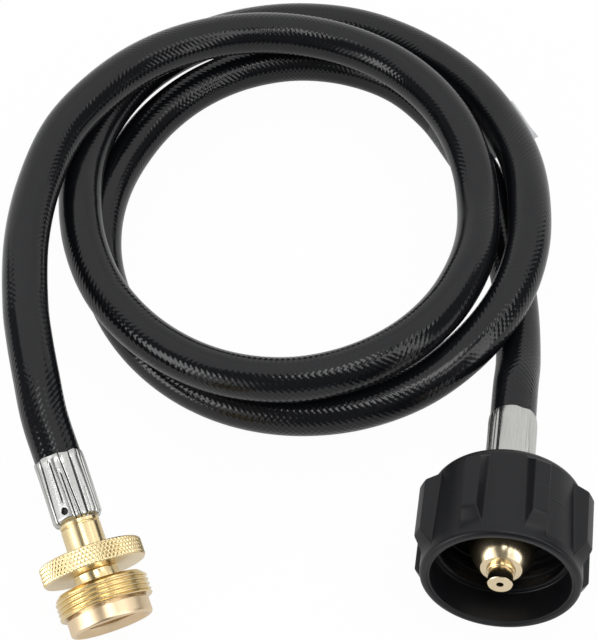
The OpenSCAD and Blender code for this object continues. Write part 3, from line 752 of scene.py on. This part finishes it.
# Diamond knurl, 30 degrees to the axis
KNURLS_ROUND = 80
KNURL_SIDES = 6
KNURL_LEN = 2.0
KNURL_DEPTH = 0.36
KNURL_ROW = 0.125
KNURL_EDGE_ROW = 0.14
# 1-20 UNEF male thread: pitch and depth, and where it runs out before the head's end
THREAD_PITCH = 1.27
THREAD_DEPTH = 0.72
THREAD_ROW = THREAD_PITCH / 20
RUN_IN_ROW = 0.09
RUN_OUT = 0.6
RUN_OUT_END = 0.2


def valley(phase):
    """0 on a crest and 1 in the groove of a pattern that repeats once a turn of phase."""
    return abs(phase % 1 - 0.5) * 2


def connector_shape(turn, r, z):
    """Cuts the knurl into the disc and the thread into the head."""
    round_part = turn / TAU
    if DISC_Z <= z <= WAIST_Z and r > DISC_R - EDGE - RIM / 2:
        across = KNURLS_ROUND * round_part
        groove = max(valley(across + z / KNURL_LEN), valley(across - z / KNURL_LEN))
        return min(r, DISC_R - KNURL_DEPTH * groove), z
    if HEAD_Z <= z <= HEAD_END and r > THREAD_R - RUN_IN - RIM / 2:
        groove = 0.5 - 0.5 * math.cos(TAU * (z / THREAD_PITCH - round_part))
        fade = 1 - ramp(z, HEAD_END - RUN_OUT, HEAD_END - RUN_OUT_END)
        return min(r, THREAD_R - THREAD_DEPTH * groove * fade), z
    return r, z


connector_outline = (
    [(STEM_SPIGOT_R, DISC_Z), (WAIST_R, DISC_Z)]
    + stretch((DISC_R - EDGE - RIM, DISC_Z), (DISC_R - EDGE, DISC_Z), RIM / 2)
    + stretch((DISC_R - EDGE, DISC_Z), (DISC_R, DISC_Z + EDGE), KNURL_EDGE_ROW)
    + stretch((DISC_R, DISC_Z + EDGE), (DISC_R, WAIST_Z - EDGE), KNURL_ROW)
    + stretch((DISC_R, WAIST_Z - EDGE), (DISC_R - EDGE, WAIST_Z), KNURL_EDGE_ROW)
    + [(DISC_R - EDGE, WAIST_Z), (DISC_R - EDGE - RIM, WAIST_Z)]
    + arc((WAIST_R + WAIST_FILLET, WAIST_Z + WAIST_FILLET), WAIST_FILLET, 270, 180, 4)
    + arc((WAIST_R + WAIST_FILLET, HEAD_Z - WAIST_FILLET), WAIST_FILLET, 180, 90, 4)
    + [(THREAD_R - RUN_IN - RIM, HEAD_Z)]
    + stretch((THREAD_R - RUN_IN, HEAD_Z), (THREAD_R, HEAD_Z + RUN_IN), RUN_IN_ROW)
    + stretch((THREAD_R, HEAD_Z + RUN_IN), (THREAD_R, HEAD_END - HEAD_EDGE), THREAD_ROW)
    + [(THREAD_R, HEAD_END - HEAD_EDGE), (THREAD_R - HEAD_EDGE, HEAD_END),
       (COLLAR_BORE_R, HEAD_END), (COLLAR_BORE_R, SPIGOT_START), (CAGE_R, SPIGOT_START),
       (CAGE_R, CAGE_Z), (CHAMBER_R, CAGE_Z), (CHAMBER_R, CHAMBER_Z), (GAS_R, CHAMBER_Z),
       (GAS_R, STEM_SPIGOT_END), (STEM_SPIGOT_R, STEM_SPIGOT_END)])
connector_body = turned("connector_body_knurled", CONNECTOR_AXES, connector_outline,
                        even_turns(KNURLS_ROUND * KNURL_SIDES), connector_shape, sharp_angle=42)
dress(connector_body, [BRASS_CONNECTOR])
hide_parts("connector_body")

# ---------------------------------------------------------------- connector stem
# Both stems start with four barbs and a shoulder inside the ferrule
STEM_R = 5.4
STEM_START = 1
BARB_Z = 2
BARB_PITCH = 3
BARB_TEETH = 4
BARB_ROOT_R = 3.2
BARB_CREST_R = 3.7
# A tooth rises over this share of the pitch and drops back over this length
BARB_RISE = 0.7
BARB_DROP = 0.2
SHOULDER_Z = 15.4
STEM_SIDES = 128
barb_outline = [(GAS_R, STEM_START), (BARB_ROOT_R, STEM_START)]
for tooth in range(BARB_TEETH):
    crest_z = BARB_Z + (tooth + BARB_RISE) * BARB_PITCH
    barb_outline += [(BARB_ROOT_R, BARB_Z + tooth * BARB_PITCH), (BARB_CREST_R, crest_z),
                     (BARB_ROOT_R, crest_z + BARB_DROP)]
barb_outline += [(BARB_ROOT_R, SHOULDER_Z), (FERRULE_INNER_R, SHOULDER_Z),
                 (FERRULE_INNER_R, SHOULDER_END), (STEM_R, SHOULDER_END)]

# A ring and a groove just clear of the ferrule's lip
RING_END = 18.75
GROOVE_END = 19.25
GROOVE_R = 4.75
RING_EDGE = 0.1
stem_outline = barb_outline + [
    (STEM_R, RING_END - RING_EDGE), (STEM_R - RING_EDGE, RING_END), (GROOVE_R, RING_END),
    (GROOVE_R, GROOVE_END), (STEM_R - RING_EDGE, GROOVE_END), (STEM_R, GROOVE_END + RING_EDGE),
    (STEM_R, DISC_Z), (STEM_SPIGOT_R, DISC_Z), (STEM_SPIGOT_R, STEM_SPIGOT_END),
    (GAS_R, STEM_SPIGOT_END)]
stem = turned("connector_stem_turned", CONNECTOR_AXES, stem_outline, even_turns(STEM_SIDES),
              as_drawn, sharp_angle=30)
dress(stem, [BRASS_CONNECTOR])
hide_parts("connector_stem")

# ---------------------------------------------------------------- nose collar
# Pressed-in ring, with a relief groove behind it and a wide lead-in to its socket
COLLAR_R = 11.15
COLLAR_BACK = 42.5
COLLAR_END = 46.8
COLLAR_ROUND = 0.9
BACK_EDGE = 0.12
SPIGOT_R = 10.7
RELIEF_R = 9.8
RELIEF_EDGE = 0.1
SOCKET_R = 8.25
SOCKET_STEP = 0.3
SOCKET_BOTTOM = 42.2
LEAD_IN = 1.85
COLLAR_SIDES = 180
collar_outline = (
    [(SOCKET_R - SOCKET_STEP, SPIGOT_START), (SPIGOT_R, SPIGOT_START),
     (SPIGOT_R, HEAD_END - 0.05), (RELIEF_R, HEAD_END), (RELIEF_R, COLLAR_BACK - RELIEF_EDGE),
     (RELIEF_R + RELIEF_EDGE, COLLAR_BACK), (COLLAR_R - BACK_EDGE, COLLAR_BACK),
     (COLLAR_R, COLLAR_BACK + BACK_EDGE)]
    + stretch((COLLAR_R, COLLAR_BACK + BACK_EDGE), (COLLAR_R, COLLAR_END - COLLAR_ROUND), 0.4)[1:]
    + arc((COLLAR_R - COLLAR_ROUND, COLLAR_END - COLLAR_ROUND), COLLAR_ROUND, 0, 90, 10)
    # the lead-in's cone, with both its edges broken by up to a tenth
    + [(SOCKET_R + LEAD_IN + 0.06, COLLAR_END), (SOCKET_R + LEAD_IN, COLLAR_END - 0.04),
       (SOCKET_R + 0.1, COLLAR_END - LEAD_IN + 0.06), (SOCKET_R, COLLAR_END - LEAD_IN - 0.06),
       (SOCKET_R, SOCKET_BOTTOM), (SOCKET_R - SOCKET_STEP, SOCKET_BOTTOM)])
collar = turned("nose_collar_turned", CONNECTOR_AXES, collar_outline, even_turns(COLLAR_SIDES),
                as_drawn, sharp_angle=30)
dress(collar, [BRASS_SATIN])
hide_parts("nose_collar")

# ---------------------------------------------------------------- tank nipple
# Journal that the nut turns on, with the groove of its clip, and the flange that pulls it in
JOURNAL_Z = 21.8
JOURNAL_R = 7.9
CLIP_Z = 23.9
CLIP_END = 24.7
CLIP_GROOVE_R = 7.05
FLANGE_Z = 31.8
FLANGE_R = 13.4
NOSE_Z = 35.0
# Nose: a plain shank that turns into a cone and ends in a flat face
BULLET_Z = 40.6
BULLET_ROOT_R = 8.7
BULLET_END_R = 5.5
BULLET_SLOPE = 0.82
BULLET_BLEND = 2.6
BULLET_END_Z = 49.95
BULLET_STEPS = 28
FACE_Z = 50.1
# Tip pressed into the face: its hidden shank, the boss round its foot, and the drilled end
SHANK_R = 3.98
SHANK_Z = 44.1
TIP_SEAT_Z = 49.4
BOSS_R = 3.65
BOSS_END = 51.1
BOSS_EDGE = 0.12
TIP_R = 3.27
TIP_Z = 54.7
TIP_BEVEL = 0.14
# Groove between boss and tip: its depth, its width, and the width with its slanted end
TIP_GROOVE = 0.22
TIP_GROOVE_W = 0.25
TIP_GROOVE_END = 0.35
TIP_HOLE_R = 0.95
TIP_HOLE_DEPTH = 2
# The nipple's own hole for the tip is this much wider round the boss and round the shank
BOSS_ROOM = 0.05
SHANK_ROOM = 0.02
LIMITER_Z = 25
NIPPLE_SIDES = 180
TIP_SIDES = 96
bullet = []
for k in range(BULLET_STEPS + 1):
    z = BULLET_Z + (BULLET_END_Z - BULLET_Z) * k / BULLET_STEPS
    cone_r = BULLET_END_R + BULLET_SLOPE * (BULLET_END_Z - z)
    bullet.append((soft_min(BULLET_ROOT_R, cone_r, BULLET_BLEND), z))
nipple_outline = (
    barb_outline
    + [(STEM_R, JOURNAL_Z), (JOURNAL_R - EDGE, JOURNAL_Z), (JOURNAL_R, JOURNAL_Z + EDGE),
       (JOURNAL_R, CLIP_Z), (CLIP_GROOVE_R, CLIP_Z), (CLIP_GROOVE_R, CLIP_END),
       (JOURNAL_R, CLIP_END), (JOURNAL_R, FLANGE_Z), (FLANGE_R - EDGE, FLANGE_Z),
       (FLANGE_R, FLANGE_Z + EDGE), (FLANGE_R, NOSE_Z - EDGE), (FLANGE_R - EDGE, NOSE_Z),
       (BULLET_ROOT_R, NOSE_Z)]
    + bullet
    + [(BULLET_END_R - 0.08, FACE_Z - 0.06), (BULLET_END_R - 0.2, FACE_Z),
       (BOSS_R + BOSS_EDGE, FACE_Z), (BOSS_R + BOSS_ROOM, FACE_Z - 0.07),
       (BOSS_R + BOSS_ROOM, TIP_SEAT_Z + 0.1), (SHANK_R + SHANK_ROOM, TIP_SEAT_Z),
       (SHANK_R + SHANK_ROOM, LIMITER_Z), (GAS_R, LIMITER_Z)])
nipple = turned("tank_nipple_turned", TANK_AXES, nipple_outline, even_turns(NIPPLE_SIDES),
                as_drawn, sharp_angle=30)
dress(nipple, [BRASS_TANK])
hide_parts("tank_nipple")

tip_outline = [
    (GAS_R, SHANK_Z), (SHANK_R, SHANK_Z), (SHANK_R, TIP_SEAT_Z - BOSS_ROOM),
    (BOSS_R, TIP_SEAT_Z - BOSS_ROOM), (BOSS_R, BOSS_END - BOSS_EDGE),
    (BOSS_R - BOSS_EDGE, BOSS_END), (TIP_R - TIP_GROOVE, BOSS_END),
    (TIP_R - TIP_GROOVE, BOSS_END + TIP_GROOVE_W), (TIP_R, BOSS_END + TIP_GROOVE_END),
    (TIP_R, TIP_Z - TIP_BEVEL), (TIP_R - TIP_BEVEL, TIP_Z), (TIP_HOLE_R, TIP_Z),
    (TIP_HOLE_R, TIP_Z - TIP_HOLE_DEPTH), (GAS_R, TIP_Z - TIP_HOLE_DEPTH)]
tip = turned("nipple_tip_drilled", TANK_AXES, tip_outline, even_turns(TIP_SIDES), as_drawn,
             sharp_angle=30)
dress(tip, [BRASS_TANK])
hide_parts("nipple_tip")

# ---------------------------------------------------------------- hand-wheel nut
NUT_Z = 25.0
NUT_END = 54.0
# Barrel: radius at the back, at the parting line and at the front, and its rounded ends
BACK_R = 20.2
MID_R = 20.5
FRONT_R = 20.9
END_R = 20.8
BACK_ROUND = 3
FRONT_ROUND = 1.2
BARREL_ROW = 0.4
# Lugs: crown, count, place round, width, lean of the flanks, bevelled ends, and how rounded
# their edges and feet are; they start a little under the barrel's skin
CROWN_R = 23.8
LUG_COUNT = 8
LUG_TURN = math.radians(4.6)
LUG_W = 4.1
LUG_FLANK = 1.1
LUG_REAR_Z = 28.2
LUG_REAR_BEVEL = 2.8
LUG_END_Z = 51.0
LUG_FRONT_BEVEL = 3.9
LUG_EDGE = 0.35
LUG_FOOT = 0.9
LUG_SINK = 0.1
# Fine ridge where the mould's halves met
PARTING_Z = 39.0
PARTING_RIDGE = 0.035
PARTING_W = 0.16
# Inside: plain mouth, step down to the thread's crests, flange pocket, and bore on the journal
MOUTH_R = 18.1
MOUTH_STEP_Z = 44.4
CREST_R = 16.8
POCKET_R = 14.0
POCKET_Z = 28.5
BORE_R = 8.4
# Stepped rim of the mouth: how far outside the mouth's radius and how far back from the end
MOUTH_RIM = [(0.95, 0), (0.8, 0.1), (0.7, 0.35), (0.3, 0.35), (0.1, 0.45), (0, 0.7)]
# 1 5/16 inch female thread, six turns an inch, with its slanted flanks between these shares
ACME_PITCH = 4.23
ACME_DEPTH = 0.4
ACME_FLANK = (0.35, 0.65)


def lug_radius(turn, z):
    """Radius of the nearest lug's surface, which drops away past its flanks and ends."""
    pitch = TAU / LUG_COUNT
    off = (turn - LUG_TURN) / pitch - 0.5
    off = abs(off - round(off)) * pitch
    slope = LUG_FLANK / (CROWN_R - BACK_R)
    flank = (LUG_W / 2 + slope * CROWN_R) / (math.sin(off) + slope * math.cos(off))
    rear = BACK_R - LUG_SINK + (z - LUG_REAR_Z) * (CROWN_R - BACK_R) / LUG_REAR_BEVEL
    front = FRONT_R - LUG_SINK + (LUG_END_Z - z) * (CROWN_R - FRONT_R) / LUG_FRONT_BEVEL
    crown = soft_min(soft_min(CROWN_R, rear, LUG_EDGE), front, LUG_EDGE)
    return soft_min(crown, flank, LUG_EDGE)


def nut_shape(turn, r, z):
    """Raises the lugs and the parting line from the barrel, and cuts the thread inside."""
    # the outer skin, clear of the two rounded ends
    if r > MOUTH_R + 0.5 and NUT_Z + 0.4 < z < LUG_END_Z + 1.2:
        r = soft_max(r, lug_radius(turn, z), LUG_FOOT)
        ridge = PARTING_RIDGE * (1 - ramp(abs(z - PARTING_Z), 0, PARTING_W))
        return r + ridge, z
    # the crests of the thread, clear of its two ends
    if abs(r - CREST_R) < 0.01 and NOSE_Z + 0.8 < z < MOUTH_STEP_Z - 0.2:
        groove = ramp(valley(z / ACME_PITCH - turn / TAU), *ACME_FLANK)
        return r + ACME_DEPTH * groove, z
    return r, z


# Points round the nut, in degrees from the middle of a lug: close together on its flank
FROM_LUG = [0, 1, 2, 3, 4] + [4.25 + 0.3 * k for k in range(22)] + [11.5, 13, 15, 17.5, 20]
nut_turns = sorted(
    [LUG_TURN + TAU / LUG_COUNT * (lug + 0.5) + math.radians(side * degrees)
     for lug in range(LUG_COUNT) for side in (1, -1) for degrees in FROM_LUG
     if side > 0 or degrees > 0]
    + [LUG_TURN + TAU / LUG_COUNT * lug for lug in range(1, LUG_COUNT + 1)])
nut_outline = (
    [(BORE_R, NUT_Z), (BACK_R - BACK_ROUND - 2, NUT_Z)]
    + arc((BACK_R - BACK_ROUND, NUT_Z + BACK_ROUND), BACK_ROUND, -90, 0, 12)[:-1]
    + stretch((BACK_R, NUT_Z + BACK_ROUND), (MID_R, PARTING_Z - 0.2), BARREL_ROW)
    + [(MID_R, PARTING_Z + up) for up in (-PARTING_W, -0.06, 0.06, PARTING_W)]
    + stretch((MID_R, PARTING_Z + 0.3), (FRONT_R, LUG_END_Z), BARREL_ROW)
    + stretch((FRONT_R, LUG_END_Z), (END_R, NUT_END - FRONT_ROUND), BARREL_ROW)
    + arc((END_R - FRONT_ROUND, NUT_END - FRONT_ROUND), FRONT_ROUND, 0, 90, 8)
    + [(MOUTH_R + out, NUT_END - back) for out, back in MOUTH_RIM]
    + [(MOUTH_R, MOUTH_STEP_Z + 0.15), (MOUTH_R - 0.15, MOUTH_STEP_Z),
       (CREST_R + 0.3, MOUTH_STEP_Z)]
    + stretch((CREST_R, MOUTH_STEP_Z - 0.2), (CREST_R, NOSE_Z + 0.1), 0.3)
    + [(CREST_R - 0.1, NOSE_Z), (POCKET_R, NOSE_Z), (POCKET_R, POCKET_Z), (BORE_R, POCKET_Z)])
nut = turned("tank_nut_moulded", TANK_AXES, nut_outline, nut_turns, nut_shape, sharp_angle=40)
dress(nut, [NUT_PLASTIC], "hand_wheel")
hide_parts("tank_nut")

# ---------------------------------------------------------------- floor and light
# The floor lies a hair under the coil's lowest points
FLOOR_HALF = 6000
FLOOR_Z = -0.2
floor_corners = [(x * FLOOR_HALF, y * FLOOR_HALF, FLOOR_Z)
                 for x, y in ((-1, -1), (1, -1), (1, 1), (-1, 1))]
floor = new_piece("floor", floor_corners, [(0, 1, 2, 3)])


def white_share(tree, seen, mirrored):
    """How much plain white the eye sees, and how much reflections and glass see."""
    rays = node(tree, "ShaderNodeLightPath")
    bounced = node(tree, "ShaderNodeMath", {"operation": "MAXIMUM"},
                   {0: rays.outputs["Is Glossy Ray"], 1: rays.outputs["Is Transmission Ray"]})
    in_mirrors = node(tree, "ShaderNodeMath", {"operation": "MULTIPLY", 1: mirrored},
                      {0: bounced.outputs[0]})
    return node(tree, "ShaderNodeMath", {"operation": "MULTIPLY_ADD", 1: seen},
                {0: rays.outputs["Is Camera Ray"], 2: in_mirrors.outputs[0]}).outputs[0]


# The paper's lit share adds the rest
GLOW_SEEN = 0.97
GLOW_MIRRORED = 0.3
paper, tree = new_material("floor_paper")
matte = node(tree, "ShaderNodeBsdfDiffuse", {"Color": linear("#f4f4f4")})
white = node(tree, "ShaderNodeEmission", {"Color": (1, 1, 1, 1), "Strength": 1.0})
mix = node(tree, "ShaderNodeMixShader", links={0: white_share(tree, GLOW_SEEN, GLOW_MIRRORED)})
tree.links.new(matte.outputs[0], mix.inputs[1])
tree.links.new(white.outputs[0], mix.inputs[2])
finish_material(tree, mix)
floor.data.materials.append(paper)

world = bpy.data.worlds.new("studio")
scene.world = world
world.use_nodes = True
tree = world.node_tree
tree.nodes.clear()
ROOM_GLOW = 0.12
ROOM_MIRRORED = 0.05
glow = node(tree, "ShaderNodeBackground", {"Color": (1, 1, 1, 1), "Strength": ROOM_GLOW})
white = node(tree, "ShaderNodeBackground", {"Color": (1, 1, 1, 1), "Strength": 1.0})
mix = node(tree, "ShaderNodeMixShader", links={0: white_share(tree, 1.0, ROOM_MIRRORED)})
tree.links.new(glow.outputs[0], mix.inputs[1])
tree.links.new(white.outputs[0], mix.inputs[2])
out = tree.nodes.new("ShaderNodeOutputWorld")
tree.links.new(mix.outputs[0], out.inputs["Surface"])

OBJECT_CENTRE = Vector((0, 0.07, 0.02))


def softbox(name, azimuth, elevation, distance, width, height, radiance, lights_only=None):
    """Area lamp that faces the object. Azimuth 0 is +X and 90 is +Y; sizes in metres."""
    a, e = math.radians(azimuth), math.radians(elevation)
    way = Vector((math.cos(a) * math.cos(e), math.sin(a) * math.cos(e), math.sin(e)))
    lamp = bpy.data.lights.new(name, "AREA")
    lamp.shape = "RECTANGLE"
    lamp.size, lamp.size_y = width, height
    lamp.energy = radiance * math.pi * width * height
    obj = bpy.data.objects.new(name, lamp)
    scene.collection.objects.link(obj)
    obj.location = OBJECT_CENTRE + way * distance
    obj.rotation_mode = "QUATERNION"
    obj.rotation_quaternion = (-way).to_track_quat("-Z", "Y")
    if lights_only:
        obj.light_linking.receiver_collection = lights_only


# Name, azimuth, elevation, distance, width, height, radiance
for lamp in (("back_wall", 90, 22.5, 1.6, 5.4, 1.53, 0.76),
             ("overhead", 90, 71.5, 1.6, 3.4, 1.4, 0.96),
             ("front_top", -76, 75, 1.5, 0.52, 0.48, 4.6),
             ("right_top", -30, 56, 1.4, 1.0, 0.25, 2.7),
             ("right_strip", -31, 26, 1.4, 0.32, 1.25, 2.9),
             ("left_strip", -149, 16, 1.4, 0.46, 0.95, 4.6),
             ("left_fill", -130, 15, 1.5, 0.5, 0.9, 1.2)):
    softbox(*lamp)

# Pale cards that only the bright metals mirror, so that the rubber stays dark on its flanks
metals = bpy.data.collections.new("bright_metals")
for obj in scene.objects:
    if obj.type == "MESH" and any(m and m.name in METAL_NAMES for m in obj.data.materials):
        metals.objects.link(obj)
for card in (("left_card", -170, 24, 1.4, 0.8, 1.9, 0.88),
             ("right_card", 0, 28, 1.4, 1.6, 1.1, 0.88),
             ("front_left_card", -137, 30, 1.4, 0.9, 0.9, 1.0),
             ("front_right_card", -48, 30, 1.4, 0.9, 0.9, 1.0)):
    softbox(*card, lights_only=metals)

scene.view_settings.view_transform = "Standard"
